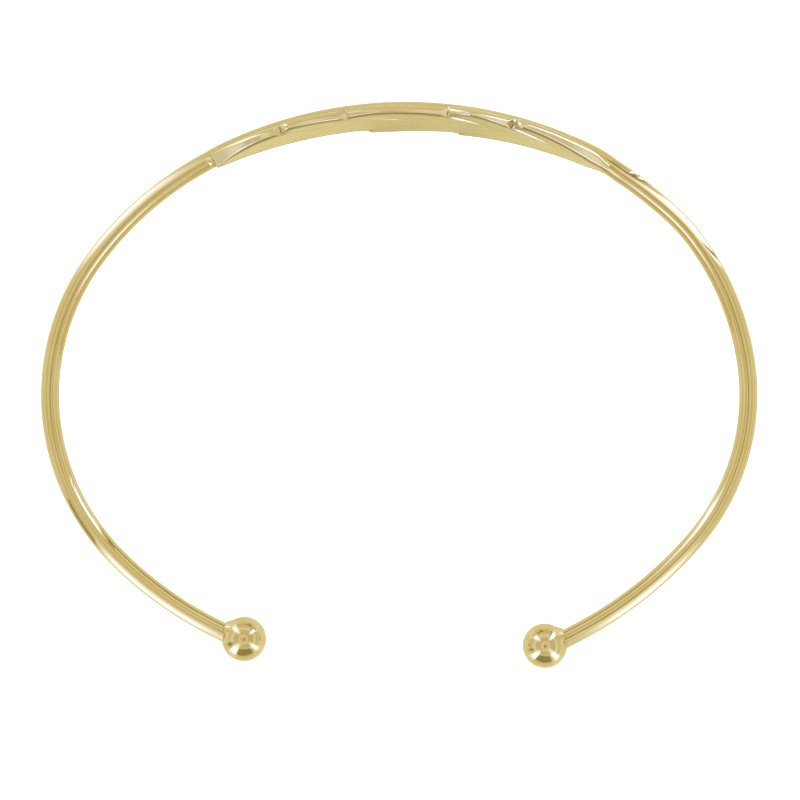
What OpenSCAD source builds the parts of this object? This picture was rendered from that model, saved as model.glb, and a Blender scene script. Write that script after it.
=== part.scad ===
// Open oval bangle: a feather-shaped front plate on a round wire, with a ball on each free end.
//
// Every piece is drawn in the ring's own frame first. There the ring lies flat round the origin, X runs
// along its width, +Y points to the feather and Z is the ring's axis, so Z runs across the feather.
// The whole ring is then set down as it rests by itself: on the tip of the lowest barb and on the balls.

/* [Wire] */
// Diameter of the round wire
wire_d = 1.6; // [1.2:0.1:2]
// Straight stretch of wire that ends in the middle of each ball
wire_lead = 3; // [2.6:0.1:4]

/* [Oval] */
// Radius of the wire's centreline in the front bend, under the feather
front_bend_r = 36.8; // [35:0.1:39]
// Sweep of the front bend to each side of its middle
front_bend_half = 29; // [27:0.5:31]

/* [Feather] */
// How far the feather's inner face stands inside the wire
inner_drop = 0.15; // [0.05:0.05:0.3]
// Thickness of the barbs at their outer edge
edge_t = 0.65; // [0.5:0.05:0.9]
// Thickness of the barbs where they meet the shaft
root_t = 1.2; // [1:0.05:1.4]
// Width of the feather's shaft at its quill end
shaft_w = 1.5; // [1.2:0.1:1.6]
// Width of the feather's shaft at its tip
shaft_tip_w = 0.8; // [0.6:0.1:1.2]
// Width of each slit at its mouth
slit_w = 0.3; // [0.2:0.05:0.5]

/* [Balls] */
// Diameter of each ball
ball_d = 3.9; // [3.6:0.1:5]
// How far each ball's middle sits inside the wire's centreline
ball_shift = 0.3; // [0:0.05:0.4]
// Radius of the hollow curve from the ball up to its lip on the inner side of the wire
lip_fillet = 0.4; // [0.3:0.05:0.6]
// Clearance round the wire in the drilled ball
fit_gap = 0.05; // [0.03:0.01:0.1]

/* [Hidden] */
gold = [0.80, 0.71, 0.46];
ring_fn = 180;
wire_fn = 48;

// Bends of the wire from the front bend round to each ball.
// Columns: radius of the centreline, sweep in degrees
left_bends = [[29.6, 25], [20.2, 81], [33, 18]];
right_bends = [[24, 52.5], [19.6, 50], [35.5, 21]];
BEND_R = 0;
BEND_SWEEP = 1;

// Every second bend is this much thinner and runs on a little into its neighbours, so that all of the wire
// is one solid.
thinner = 0.02;
run_on = 0.5;

front_centre = [0.5, -11.4];
wire_r = wire_d / 2;
ball_r = ball_d / 2;
front_left = 90 + front_bend_half;
front_right = 90 - front_bend_half;

// The feather's tip lies here on the front bend, seen from the bend's centre.
feather_start = front_left - 1.5;
// How far each wire arm runs into the feather
arm_in_tip = 0.8;
arm_in_quill = 2.2;

inner_r = front_bend_r - wire_r - inner_drop;
crown_r = front_bend_r + wire_r + 0.05;

// Barbs of the feather, from its tip to its quill: one table for the upper edge and one for the lower.
// The slit behind a barb runs from the barb's end back to the root.
// Columns: tip along the feather, tip from the shaft's middle, then the same two for the fullest point of
// the outer edge, for the edge's end and for the root of the slit
upper_barbs = [
    [0, 1.2, 4, 3.6, 6.4, 2.8, 11.8, 0.7],
    [6.6, 4.8, 9.4, 4.2, 12.3, 3.2, 18.4, 0.6],
    [12.5, 4, 17, 4.4, 20.7, 3.6, 25.9, 0.7],
    [20.9, 4.6, 24, 5.2, 27.1, 3.1, 32.2, 0.4],
    [27.3, 4.6, 32, 3.7, 37.2, 1.2, 37.2, 0],
];
lower_barbs = [
    [0, 0.3, 7, 2.8, 14, 3.8, 20, 0.6],
    [14.3, 5.3, 18, 5.3, 22.3, 4.5, 28.4, 0.6],
    [22.6, 5.5, 29, 3.6, 37.2, 0.9, 37.2, 0],
];
TIP = 0;
BELLY = 2;
END = 4;
ROOT = 6;
edge_steps = 6;
feather_l = upper_barbs[len(upper_barbs) - 1][END];

function unit(a) = [cos(a), sin(a)];
function sum(v, n, i = 0) = i < n ? v[i] + sum(v, n, i + 1) : 0;

// Direction, from the bend's centre, in which bend i starts. way is 1 round to the left, -1 to the right.
function bend_start(bends, start, way, i) = start + way * sum([for (b = bends) b[BEND_SWEEP]], i);

// Centre of bend i, on the line from the centre before it to the point where the two bends meet.
function bend_centre(bends, start, way, i) =
    i < 0 ? front_centre
    : bend_centre(bends, start, way, i - 1)
        + ((i == 0 ? front_bend_r : bends[i - 1][BEND_R]) - bends[i][BEND_R])
        * unit(bend_start(bends, start, way, i));

// Where the last bend ends, and the middle of the ball beyond it, a little inside the wire's line.
function arm_turn(bends, start, way) = bend_start(bends, start, way, len(bends));
function arm_end(bends, start, way) =
    bend_centre(bends, start, way, len(bends) - 1)
    + bends[len(bends) - 1][BEND_R] * unit(arm_turn(bends, start, way));
function ball_centre(bends, start, way) =
    arm_end(bends, start, way)
    + wire_lead * unit(arm_turn(bends, start, way) + way * 90)
    - ball_shift * unit(arm_turn(bends, start, way));

left_ball = ball_centre(left_bends, front_left, 1);
right_ball = ball_centre(right_bends, front_right, -1);

// Direction of a place along the feather, and its distance along X on the inner face.
function feather_angle(s) = feather_start - s / front_bend_r * 180 / PI;
function feather_x(s) = front_centre.x + inner_r * cos(feather_angle(s));

// The ring rests on its lowest barb tip and on the ball that lies furthest from the feather.
low_tip = lower_barbs[2];
low_tip_y = front_centre.y + inner_r * sin(feather_angle(low_tip[TIP]));
far_ball_y = min(left_ball.y, right_ball.y);
rest_reach = low_tip_y - far_ball_y;
rest_tilt = atan2(low_tip[TIP + 1], rest_reach) - asin(ball_r / norm([rest_reach, low_tip[TIP + 1]]));

// Box of the tilted ring, which puts the origin under its middle.
left_x = bend_centre(left_bends, front_left, 1, 1).x - left_bends[1][BEND_R] - wire_r;
right_x = bend_centre(right_bends, front_right, -1, 1).x + right_bends[1][BEND_R] + wire_r;
top_y = (front_centre.y + crown_r) * cos(rest_tilt);
bottom_y = far_ball_y * cos(rest_tilt) - ball_r;
rest_z = ball_r - far_ball_y * sin(rest_tilt);

// Sets the ring down as it rests, with the origin under the middle of its box.
module as_it_rests() {
    translate([-(left_x + right_x) / 2, -(top_y + bottom_y) / 2, rest_z])
        rotate([rest_tilt, 0, 0])
            children();
}

// One bend of the wire: centre, radius of its centreline, where it starts and how far it sweeps.
module wire_bend(centre, r, from, sweep, d = wire_d) {
    translate(centre)
        rotate_extrude(angle = sweep, start = from, $fn = ring_fn)
            translate([r, 0])
                circle(d = d, $fn = wire_fn);
}

// One arm of the wire, from the feather round to the middle of its ball.
module wire_arm(bends, start, way, into_feather) {
    lap = abs(start - into_feather);
    wire_bend(front_centre, front_bend_r, min(start, into_feather), lap);
    for (i = [0 : len(bends) - 1]) {
        thin = i % 2 == 0;
        r = bends[i][BEND_R];
        more = thin ? run_on / r * 180 / PI : 0;
        turn = bend_start(bends, start, way, i);
        from = way > 0 ? turn : turn - bends[i][BEND_SWEEP];
        wire_bend(bend_centre(bends, start, way, i), r, from - more, bends[i][BEND_SWEEP] + 2 * more,
            thin ? wire_d - thinner : wire_d);
    }
    translate(arm_end(bends, start, way))
        rotate([0, 90, arm_turn(bends, start, way) + way * 90])
            cylinder(d = wire_d, h = wire_lead, $fn = wire_fn);
}

// A barb's outer edge: a parabola from a through b to c.
function curve(a, b, c) =
    let (pull = 2 * b - (a + c) / 2)
    [for (i = [0 : edge_steps])
        let (t = i / edge_steps)
        (1 - t) * (1 - t) * a + 2 * t * (1 - t) * pull + t * t * c];

function place(barb, column) = [barb[column], barb[column + 1]];

// Outline of one side of the feather, as places along it and distances from the shaft's middle.
// A barb's tip is cut square, from its corner down to the slit.
function side_outline(barbs) = [
    for (i = [0 : len(barbs) - 1])
        let (b = barbs[i], before = i > 0 ? place(barbs[i - 1], END) : [0, 0])
        each concat(
            i == 0 ? [] : [[b[TIP] + slit_w / 2, before.y + slit_w]],
            curve(place(b, TIP), place(b, BELLY), place(b, END)),
            [place(b, ROOT)]
        ),
];

// The feather's whole outline on the inner face, with its slits.
module feather_outline() {
    upper = [for (p = side_outline(upper_barbs)) [feather_x(p.x), p.y]];
    lower = [for (p = side_outline(lower_barbs)) [feather_x(p.x), -p.y]];
    polygon(concat(upper, [for (i = [len(lower) - 2 : -1 : 0]) lower[i]]));
}

module shaft_outline() {
    polygon([
        [feather_x(0), -shaft_tip_w / 2], [feather_x(feather_l), -shaft_w / 2],
        [feather_x(feather_l), shaft_w / 2], [feather_x(0), shaft_tip_w / 2],
    ]);
}

// Whatever is drawn across the feather is cut through it along Y.
module cut_through() {
    translate([0, front_centre.y + crown_r + 2, 0])
        rotate([90, 0, 0])
            linear_extrude(height = 20)
                children();
}

// A section, drawn as distance from the front bend's centre and height, swept along the feather.
module along_feather() {
    beyond = 1;
    sweep = feather_start - feather_angle(feather_l) + 2 * beyond;
    translate(front_centre)
        rotate_extrude(angle = sweep, start = feather_angle(feather_l) - beyond, $fn = ring_fn)
            children();
}

// Flat inner face, and barbs that thin from the shaft to the outer edge. half is wider than any barb.
module feather_plate() {
    half = 6;
    slope = (root_t - edge_t) / (lower_barbs[1][TIP + 1] - shaft_w / 2);
    half_t = root_t - slope * (half - shaft_w / 2);
    intersection() {
        along_feather()
            polygon([
                [inner_r, -half], [inner_r + half_t, -half], [inner_r + root_t, -shaft_w / 2],
                [inner_r + root_t, shaft_w / 2], [inner_r + half_t, half], [inner_r, half],
            ]);
        cut_through() feather_outline();
    }
}

// Round-topped shaft that stands along the middle of the feather and takes up the two wires.
module feather_shaft() {
    intersection() {
        along_feather() translate([front_bend_r, 0]) circle(r = crown_r - front_bend_r, $fn = wire_fn);
        cut_through() shaft_outline();
    }
}

module band() {
    color(gold) as_it_rests() {
        feather_plate();
        feather_shaft();
        wire_arm(left_bends, front_left, 1, feather_angle(arm_in_tip));
        wire_arm(right_bends, front_right, -1, feather_angle(feather_l - arm_in_quill));
    }
}

// A drilled ball round the origin. Its bore opens towards +Z and runs beside the ball's middle, and its lip
// is the part of a small collar that the bore leaves standing.
module ball(bore_y) {
    bore_r = wire_r + fit_gap;
    lip_r = bore_r - ball_shift + 0.08;
    fillet_x = lip_r + lip_fillet;
    fillet_z = sqrt(pow(ball_r + lip_fillet, 2) - fillet_x * fillet_x);
    touch = ball_r / (ball_r + lip_fillet) * [fillet_x, fillet_z];
    difference() {
        union() {
            sphere(r = ball_r, $fn = 96);
            rotate_extrude($fn = 96)
                difference() {
                    polygon([[0.2, 0.5], touch, [fillet_x, fillet_z], [0.2, fillet_z]]);
                    translate([fillet_x, fillet_z]) circle(r = lip_fillet, $fn = 64);
                }
        }
        translate([0, bore_y, -fit_gap]) cylinder(r = bore_r, h = ball_r * 2, $fn = 64);
    }
}

module end_ball(bends, start, way) {
    color(gold) as_it_rests()
        translate(ball_centre(bends, start, way))
            rotate([0, 90, arm_turn(bends, start, way) - way * 90])
                ball(way * ball_shift);
}

module ball_left() {
    end_ball(left_bends, front_left, 1);
}

module ball_right() {
    end_ball(right_bends, front_right, -1);
}

band();
ball_left();
ball_right();
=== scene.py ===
"""Open oval bangle: a feather-shaped front on a polished round wire, with a ball on each free end.

The sizes are those of the part, in millimetres, in the ring's own frame: the ring lies flat round the
origin, +Y points to the feather, and Z is the ring's axis. RestPose sets each finished mesh down in metres.
"""

import logging
import math
from dataclasses import dataclass, field
from enum import Enum

import bmesh
import bpy
from mathutils import Matrix, Vector
from mathutils.geometry import intersect_point_line


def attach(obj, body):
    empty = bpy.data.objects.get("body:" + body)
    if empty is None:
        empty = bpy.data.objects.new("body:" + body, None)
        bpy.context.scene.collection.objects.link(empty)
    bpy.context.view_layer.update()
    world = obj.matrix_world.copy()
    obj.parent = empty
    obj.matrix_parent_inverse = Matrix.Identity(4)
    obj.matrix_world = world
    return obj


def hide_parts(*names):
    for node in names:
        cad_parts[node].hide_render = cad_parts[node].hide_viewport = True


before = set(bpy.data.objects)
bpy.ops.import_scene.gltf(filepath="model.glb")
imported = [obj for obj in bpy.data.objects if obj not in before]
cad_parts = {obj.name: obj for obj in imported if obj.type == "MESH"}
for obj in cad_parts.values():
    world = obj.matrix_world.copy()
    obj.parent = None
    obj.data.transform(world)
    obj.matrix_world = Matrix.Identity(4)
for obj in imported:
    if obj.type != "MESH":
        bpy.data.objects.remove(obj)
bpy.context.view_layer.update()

LOG = logging.getLogger("bangle")
MM = 0.001
BODY = "root"
# Vertex attribute with the place of each point before it was bent, in millimetres
DRAWN = "drawn"
# Vertex attribute for painted shade: 1 in the seam beside a rim, where the gold's colour is darkened, and 0 on
# the open surface
PAINTED_SHADE = "crease"
# Vertex attribute with the place on a softbox: -1 to 1 across, degrees from the floor and from the top
PANEL = "panel"
# An edge that turns by more than this shows as an edge
SHARP_EDGE = math.radians(42)
# Width of the bevel along a slit, as a share of its depth
BEVEL_RATIO = 0.62
# Places on a line, each with a value that holds there
Stops = tuple[tuple[float, float], ...]
Colour = tuple[float, float, float]


class Slot(Enum):
    """Material slots of the record."""

    BAND = "band"
    BALL = "ball"


def unit(degrees: float) -> Vector:
    """Direction in the ring's plane at an angle from +X."""
    return Vector((math.cos(math.radians(degrees)), math.sin(math.radians(degrees)), 0))


def axes(x: Vector, y: Vector, z: Vector) -> Matrix:
    """Rotation that turns +X, +Y and +Z to three directions."""
    return Matrix((x, y, z)).transposed().to_4x4()


def ease(value: float) -> float:
    """Smooth step from 0 to 1, for a value clamped to that range."""
    value = min(max(value, 0.0), 1.0)
    return value * value * (3 - 2 * value)


def rounded(distance: float, radius: float) -> float:
    """How far a rim of that radius has dropped at a distance from its edge."""
    left = max(radius - distance, 0.0)
    return radius - math.sqrt(max(radius * radius - left ** 2, 0.0))


def bevelled(distance: float, depth: float) -> float:
    """How far a flat bevel of that depth has dropped at a distance from its edge."""
    return max(0.0, depth - distance / BEVEL_RATIO)


def between(place: float, stops: Stops) -> float:
    """Eases from each stop's value to the next one's.

    Args:
        place: where the value is asked for.
        stops: places in rising order, and the value at each.

    Returns:
        The value at the place, or the nearest stop's value outside them.
    """
    if place <= stops[0][0]:
        return stops[0][1]
    for (start, first), (end, last) in zip(stops, stops[1:]):
        if place <= end:
            return first + (last - first) * ease((place - start) / (end - start))
    return stops[-1][1]


# Sizes


@dataclass(frozen=True)
class Bend:
    """One bend of the wire: the radius of its centreline and its sweep in degrees."""

    radius: float
    sweep: float


@dataclass(frozen=True)
class Oval:
    """The line that the wire follows, from the middle of the front bend round to each ball.

    Args:
        wire_r: radius of the wire.
        wire_lead: length of the straight end, which leads to the ball's middle.
        front: the front bend, which the feather lies on, with its sweep to each side of +Y.
        front_centre: centre of the front bend.
        left: the bends from the feather to the left ball.
        right: the bends from the feather to the right ball.
        bow: places along the feather and past it, and how far the wire and the quill are pressed in there.
    """

    wire_r: float = 0.8
    wire_lead: float = 3.0
    front: Bend = Bend(36.8, 29.0)
    front_centre: Vector = field(default_factory=lambda: Vector((0.5, -11.4, 0.0)))
    left: tuple[Bend, ...] = (Bend(29.6, 25.0), Bend(20.2, 81.0), Bend(33.0, 18.0))
    right: tuple[Bend, ...] = (Bend(24.0, 52.5), Bend(19.6, 50.0), Bend(35.5, 21.0))
    bow: Stops = ((34.8, 0.0), (38.0, 0.24), (40.0, 0.24), (46.5, 0.0))

    def bowed(self, along: float) -> float:
        """How far the wire and the quill are pressed in at a place along the feather or past it."""
        return between(along, self.bow)


@dataclass(frozen=True)
class Arm:
    """One side of the wire. way is 1 round to the left and -1 round to the right."""

    oval: Oval
    bends: tuple[Bend, ...]
    way: int

    @property
    def start(self) -> float:
        """Angle at which the arm leaves the front bend."""
        return 90 + self.way * self.oval.front.sweep

    def turns(self) -> list[tuple[Vector, float, float]]:
        """Works out where the bends lie.

        Returns:
            Centre, radius and signed sweep of each bend, from the feather outwards.
        """
        centre = self.oval.front_centre.copy()
        radius = self.oval.front.radius
        angle = self.start
        found = []
        for bend in self.bends:
            centre = centre + (radius - bend.radius) * unit(angle)
            radius = bend.radius
            found.append((centre, radius, self.way * bend.sweep))
            angle += self.way * bend.sweep
        return found

    @property
    def last_angle(self) -> float:
        """Angle at which the last bend ends."""
        return self.start + self.way * sum(bend.sweep for bend in self.bends)

    def end(self) -> Vector:
        """Point where the last bend ends and the straight lead to the ball begins."""
        centre, radius, _ = self.turns()[-1]
        return centre + radius * unit(self.last_angle)

    def heading(self) -> Vector:
        """Direction of the straight lead, towards the ball."""
        return unit(self.last_angle + self.way * 90)

    def side(self, reach: float) -> float:
        """Outermost X of the wire in its second bend, for a half thickness of the wire."""
        centre, radius, _ = self.turns()[1]
        return centre.x - self.way * (radius + reach)


@dataclass(frozen=True)
class Barb:
    """One barb. Each place is the distance along the feather and the distance from the shaft's middle.

    Args:
        tip: where the outer edge starts.
        belly: its fullest point.
        end: where it ends.
        root: where the slit behind the barb, which starts at end, runs back to.
        lift: how far the tip stands proud of its neighbours.
        slit_bevel: depth of the bevel along the slit.
        turn: how far the tip's round reaches back along the edge, and down the tip's front.
        blunt: share by which the round is cut straight.
    """

    tip: tuple[float, float]
    belly: tuple[float, float]
    end: tuple[float, float]
    root: tuple[float, float]
    lift: float = 0.0
    slit_bevel: float = 0.0
    turn: tuple[float, float] = (0.45, 0.45)
    blunt: float = 0.0


@dataclass(frozen=True)
class FeatherShape:
    """The feather's sizes, before it is bent round the front of the oval.

    Args:
        length: distance from the tip to where the shaft has its full width.
        plate_end: distance from the tip to where the last barbs end.
        inner_r: radius of the inner face.
        crown: height of the shaft's top over the wire's middle.
        ridge_r: radius of the shaft's round top.
        edge_t: thickness at the widest barb's tip.
        widest: distance of that tip from the shaft's middle.
        root_t: thickness at the shaft.
        shaft_w: width of the shaft at the quill.
        shaft_tip_w: width of the shaft at the tip.
        start: angle of the tip on the front bend.
        into_tip: how far the left wire runs on inside the tip.
        into_quill: how far the right wire runs on inside the quill.
        upper: the barbs over the shaft.
        lower: the barbs under the shaft. The ring rests on the tip of the last.
    """

    length: float = 37.2
    plate_end: float = 36.4
    inner_r: float = 35.85
    crown: float = 0.85
    ridge_r: float = 0.5
    edge_t: float = 0.65
    widest: float = 5.3
    root_t: float = 1.2
    shaft_w: float = 1.44
    shaft_tip_w: float = 0.8
    start: float = 117.5
    into_tip: float = 0.8
    into_quill: float = 2.2
    # Columns: tip, belly, end, root, lift, slit_bevel, turn, blunt
    upper: tuple[Barb, ...] = (
        Barb((0, 0.8), (3.3, 2.9), (6.5, 3.4), (11.8, 0.7)),
        Barb((6.6, 4.7), (9.2, 4.4), (12.4, 3.6), (18.4, 0.6), 0.0, 0.04, (0.7, 1.0), 0.2),
        Barb((12.5, 4.1), (17, 4.35), (21.3, 3.8), (25.9, 0.7), 0.05, 0.22, (2.3, 1.0), 0.8),
        Barb((21.4, 4.8), (24, 5.0), (27.1, 3.5), (32.2, 0.4), 0.12, 0.25, (1.8, 1.0), 0.5),
        Barb((27.3, 4.6), (32, 3.2), (36.4, 0.95), (36.4, 0), 0.14, 0.0, (0.8, 1.0), 0.3),
    )
    lower: tuple[Barb, ...] = (
        Barb((0, 0.3), (7, 2.8), (14.1, 3.8), (20, 0.6)),
        Barb((14.2, 5.3), (18, 5.3), (22.4, 4.3), (28.4, 0.6)),
        Barb((22.5, 5.5), (29, 3.6), (36.4, 0.9), (36.4, 0)),
    )

    def angle(self, along: float, oval: Oval) -> float:
        """Angle on the front bend of a place along the feather."""
        return self.start - math.degrees(along / oval.front.radius)

    def bent(self, flat: Vector, oval: Oval) -> Vector:
        """Bends a point of the flat feather round the front.

        Args:
            flat: distance along the feather, distance from the shaft's middle, height over the inner face.
            oval: the line of the wire, which the feather follows.

        Returns:
            The point in the ring's frame.
        """
        out = (self.inner_r + flat.z - oval.bowed(flat.x)) * unit(self.angle(flat.x, oval))
        return oval.front_centre + out + Vector((0, 0, flat.y))


@dataclass(frozen=True)
class BallShape:
    """The balls' sizes.

    Args:
        radius: radius of a ball.
        shift: how far the ball's middle lies inwards of the wire's.
        gap: clearance of the bore round the wire.
        lip_h: height of the lip of solder.
        lip_reach: distance from the bore over which the lip runs out.
    """

    radius: float = 1.95
    shift: float = 0.3
    gap: float = 0.05
    lip_h: float = 0.24
    lip_reach: float = 0.45


@dataclass(frozen=True)
class RestPose:
    """How the ring lies by itself: on its lowest barb tip and on the ball furthest from the feather."""

    oval: Oval
    feather: FeatherShape
    ball: BallShape
    arms: tuple[Arm, Arm]

    def ball_centre(self, arm: Arm) -> Vector:
        """Middle of the ball on an arm, a little inside the wire's line."""
        return arm.end() + self.oval.wire_lead * arm.heading() - self.ball.shift * unit(arm.last_angle)

    def far_ball_y(self) -> float:
        """Y of the ball that lies furthest from the feather."""
        return min(self.ball_centre(arm).y for arm in self.arms)

    def tilt(self) -> float:
        """Works out how the ring leans back on its lowest barb tip.

        Returns:
            The angle in radians.
        """
        tip_s, tip_z = self.feather.lower[-1].tip
        tip_y = self.feather.bent(Vector((tip_s, 0, 0)), self.oval).y
        reach = tip_y - self.far_ball_y()
        return math.atan2(tip_z, reach) - math.asin(self.ball.radius / math.hypot(reach, tip_z))

    def matrix(self) -> Matrix:
        """Sets the ring down with the origin under the middle of its box.

        Returns:
            The transform from the ring's frame in millimetres to the part's in metres.
        """
        tilt = self.tilt()
        middle_x = sum(arm.side(self.oval.wire_r) for arm in self.arms) / 2
        crown_y = self.oval.front_centre.y + self.oval.front.radius + self.feather.crown
        top_y = crown_y * math.cos(tilt)
        bottom_y = self.far_ball_y() * math.cos(tilt) - self.ball.radius
        rest_z = self.ball.radius - self.far_ball_y() * math.sin(tilt)
        move = Matrix.Translation((-middle_x, -(top_y + bottom_y) / 2, rest_z))
        return Matrix.Scale(MM, 4) @ move @ Matrix.Rotation(tilt, 4, "X")


# Nodes


def wire_up(tree: bpy.types.NodeTree, kind: str, **inputs: object) -> bpy.types.Node:
    """Adds a node and sets or links its inputs.

    Args:
        tree: the node tree.
        kind: the node's type name.
        inputs: values or output sockets by input name, with _ for a space, or by _ and the input's number,
            and props for the node's settings.

    Returns:
        The new node.
    """
    node = tree.nodes.new(kind)
    for key, value in inputs.pop("props", {}).items():
        setattr(node, key, value)
    for name, value in inputs.items():
        socket = node.inputs[int(name[1:])] if name[1:].isdigit() else node.inputs[name.replace("_", " ")]
        if isinstance(value, bpy.types.NodeSocket):
            tree.links.new(value, socket)
        else:
            socket.default_value = value
    return node


def worked_out(tree: bpy.types.NodeTree, operation: str, *values: object) -> bpy.types.NodeSocket:
    """Adds a node that works with one or two values.

    Args:
        tree: the node tree.
        operation: what the node does.
        values: the values, or output sockets that give them.

    Returns:
        The result.
    """
    given = {f"_{number}": value for number, value in enumerate(values)}
    return wire_up(tree, "ShaderNodeMath", props={"operation": operation}, **given).outputs[0]


def ranged(tree: bpy.types.NodeTree, value: bpy.types.NodeSocket, stops: tuple[float, float],
           values: tuple[float, float], kind: str = "LINEAR") -> bpy.types.NodeSocket:
    """Adds a node that maps one range to another.

    Args:
        tree: the node tree.
        value: the value to map.
        stops: the range that it comes from, to which it is clamped.
        values: the results at the two stops.
        kind: LINEAR or SMOOTHSTEP.

    Returns:
        The mapped value.
    """
    node = wire_up(tree, "ShaderNodeMapRange", props={"interpolation_type": kind}, Value=value,
                   From_Min=stops[0], From_Max=stops[1], To_Min=values[0], To_Max=values[1])
    return node.outputs["Result"]


def blank_material(name: str) -> bpy.types.Material:
    """Makes a material whose node tree is empty.

    Args:
        name: its name.

    Returns:
        The new material.
    """
    material = bpy.data.materials.new(name)
    material.use_nodes = True
    material.node_tree.nodes.clear()
    return material


# Finishes


class PlatingMarksAndShade:
    """Node group: fine polishing lines along a piece, the haze of handling, and painted shade in the seams
    beside the rims.
    """

    NAME = "plating_marks_and_shade"
    SOCKETS = (
        ("Place", "INPUT", "Vector"),
        ("Stretch", "INPUT", "Vector"),
        ("Haze Scale", "INPUT", "Float"),
        ("Deep", "INPUT", "Color"),
        ("Pale", "INPUT", "Color"),
        ("Tarnish", "INPUT", "Color"),
        ("Crease", "INPUT", "Float"),
        ("Colour", "OUTPUT", "Color"),
        ("Lines", "OUTPUT", "Float"),
        ("Haze", "OUTPUT", "Float"),
    )
    LINE_NOISE = {"Scale": 1.0, "Detail": 4.0, "Roughness": 0.65}
    HAZE_NOISE = {"Detail": 3.0, "Roughness": 0.55}
    # Noise values between which the haze sets in
    HAZE_RANGE = (0.35, 0.7)

    @classmethod
    def group(cls) -> bpy.types.NodeTree:
        """Returns the group, built on first use."""
        return bpy.data.node_groups.get(cls.NAME) or cls._build()

    @classmethod
    def _build(cls) -> bpy.types.NodeTree:
        """Builds the group.

        Returns:
            A group with the outputs Colour, Lines and Haze.
        """
        tree = bpy.data.node_groups.new(cls.NAME, "ShaderNodeTree")
        for name, way, kind in cls.SOCKETS:
            tree.interface.new_socket(name, in_out=way, socket_type="NodeSocket" + kind)
        given = tree.nodes.new("NodeGroupInput").outputs
        drawn_out = wire_up(tree, "ShaderNodeVectorMath", props={"operation": "MULTIPLY"},
                            _0=given["Place"], _1=given["Stretch"])
        lines = wire_up(tree, "ShaderNodeTexNoise", Vector=drawn_out.outputs[0], **cls.LINE_NOISE)
        noise = wire_up(tree, "ShaderNodeTexNoise", Vector=given["Place"], Scale=given["Haze Scale"],
                        **cls.HAZE_NOISE)
        haze = ranged(tree, noise.outputs["Fac"], cls.HAZE_RANGE, (0.0, 1.0), "SMOOTHSTEP")
        plating = wire_up(tree, "ShaderNodeMix", props={"data_type": "RGBA"}, _0=haze, _6=given["Deep"],
                          _7=given["Pale"])
        # Painted shade: the plating is darkened towards the shade colour where the seam mask is 1
        shaded_plating = wire_up(tree, "ShaderNodeMix", props={"data_type": "RGBA"}, _0=given["Crease"],
                       _6=plating.outputs[2], _7=given["Tarnish"])
        wire_up(tree, "NodeGroupOutput", Colour=shaded_plating.outputs[2], Lines=lines.outputs["Fac"], Haze=haze)
        return tree


@dataclass(frozen=True)
class GoldFinish:
    """One finish of the gold plating.

    Args:
        name: the material's name.
        deep: linear colour where the plating is clean.
        pale: linear colour under the haze of handling.
        clean: roughness of the clean plating.
        hazed: roughness under the haze.
        stretch: how the polishing lines are squeezed along and across the piece.
        line_depth: depth of the polishing lines, in millimetres.
        line_range: noise values between which the polishing lines make the gold rougher.
        line_gloss: factors on the roughness at those two values.
        haze_scale: size of the haze, as cells in a millimetre.
        grazing: colour that the edges take where the light grazes them.
        coat: weight of the clear lacquer over the plating.
        coat_roughness: roughness of the lacquer.
        tarnish: linear colour of the painted shade in the seams beside the feather's rims.
    """

    name: str
    deep: Colour = (0.600, 0.467, 0.165)
    pale: Colour = (0.620, 0.492, 0.195)
    clean: float = 0.045
    hazed: float = 0.085
    stretch: tuple[float, float, float] = (0.25, 14.0, 14.0)
    line_depth: float = 0.0008
    line_range: tuple[float, float] = (0.35, 0.75)
    line_gloss: tuple[float, float] = (0.85, 1.25)
    haze_scale: float = 0.35
    grazing: Colour = (0.97, 0.95, 0.80)
    coat: float = 0.4
    coat_roughness: float = 0.03
    # Painted shade: colour that the gold is darkened to in the seams beside the rims
    tarnish: Colour = (0.40, 0.29, 0.09)

    def material(self) -> bpy.types.Material:
        """Builds the finish from nodes.

        Returns:
            The new material.
        """
        material = blank_material(self.name)
        tree = material.node_tree
        place = wire_up(tree, "ShaderNodeAttribute", props={"attribute_name": DRAWN})
        # Mask of the painted shade in the seams beside the feather's rims
        crease = wire_up(tree, "ShaderNodeAttribute", props={"attribute_name": PAINTED_SHADE})
        marks_and_shade = wire_up(tree, "ShaderNodeGroup", props={"node_tree": PlatingMarksAndShade.group()},
                        Place=place.outputs["Vector"], Crease=crease.outputs["Fac"], Stretch=self.stretch,
                        Haze_Scale=self.haze_scale, Deep=(*self.deep, 1.0), Pale=(*self.pale, 1.0),
                        Tarnish=(*self.tarnish, 1.0))
        lines = marks_and_shade.outputs["Lines"]
        rough = ranged(tree, marks_and_shade.outputs["Haze"], (0.0, 1.0), (self.clean, self.hazed))
        scored = ranged(tree, lines, self.line_range, self.line_gloss)
        bump = wire_up(tree, "ShaderNodeBump", Height=lines, Strength=1.0, Distance=self.line_depth * MM)
        gold = wire_up(tree, "ShaderNodeBsdfPrincipled", Base_Color=marks_and_shade.outputs["Colour"], Metallic=1.0,
                       Roughness=worked_out(tree, "MULTIPLY", rough, scored),
                       Normal=bump.outputs["Normal"], Specular_Tint=(*self.grazing, 1.0),
                       Coat_Weight=self.coat, Coat_Roughness=self.coat_roughness)
        wire_up(tree, "ShaderNodeOutputMaterial", Surface=gold.outputs["BSDF"])
        return material


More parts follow.
